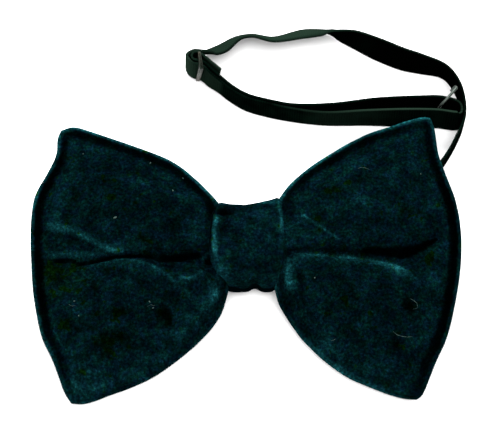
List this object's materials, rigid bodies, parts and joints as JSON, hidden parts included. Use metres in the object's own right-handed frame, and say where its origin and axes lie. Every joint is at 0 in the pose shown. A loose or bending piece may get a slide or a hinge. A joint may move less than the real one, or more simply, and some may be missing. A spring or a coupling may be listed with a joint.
{
  "type": "bow tie",
  "caption": "Ready-made velvet bow tie: padded two-wing bow with a flat knot sleeve, on a narrow woven neck strap with a ring slide and a wire hook.",
  "frame": {"origin": "middle of the knot's flat back, which lies on the table", "axes": "+X across the bow towards the hook's end, +Y up the bow's front, +Z out of its front, away from the table"},
  "size_m": [0.1387, 0.127, 0.0183],
  "materials": {
    "velvet": "short cut pile, dark blue-green",
    "ribbon": "ribbed weave, dark green",
    "slide_metal": "pale, lightly worn",
    "clasp_wire": "bright bent wire"
  },
  "bodies": {
    "root": {"bow": "velvet", "knot_band": "velvet", "neck_strap": "ribbon", "slider": "slide_metal", "hook": "clasp_wire", "eye": "clasp_wire"}
  },
  "joints": []
}
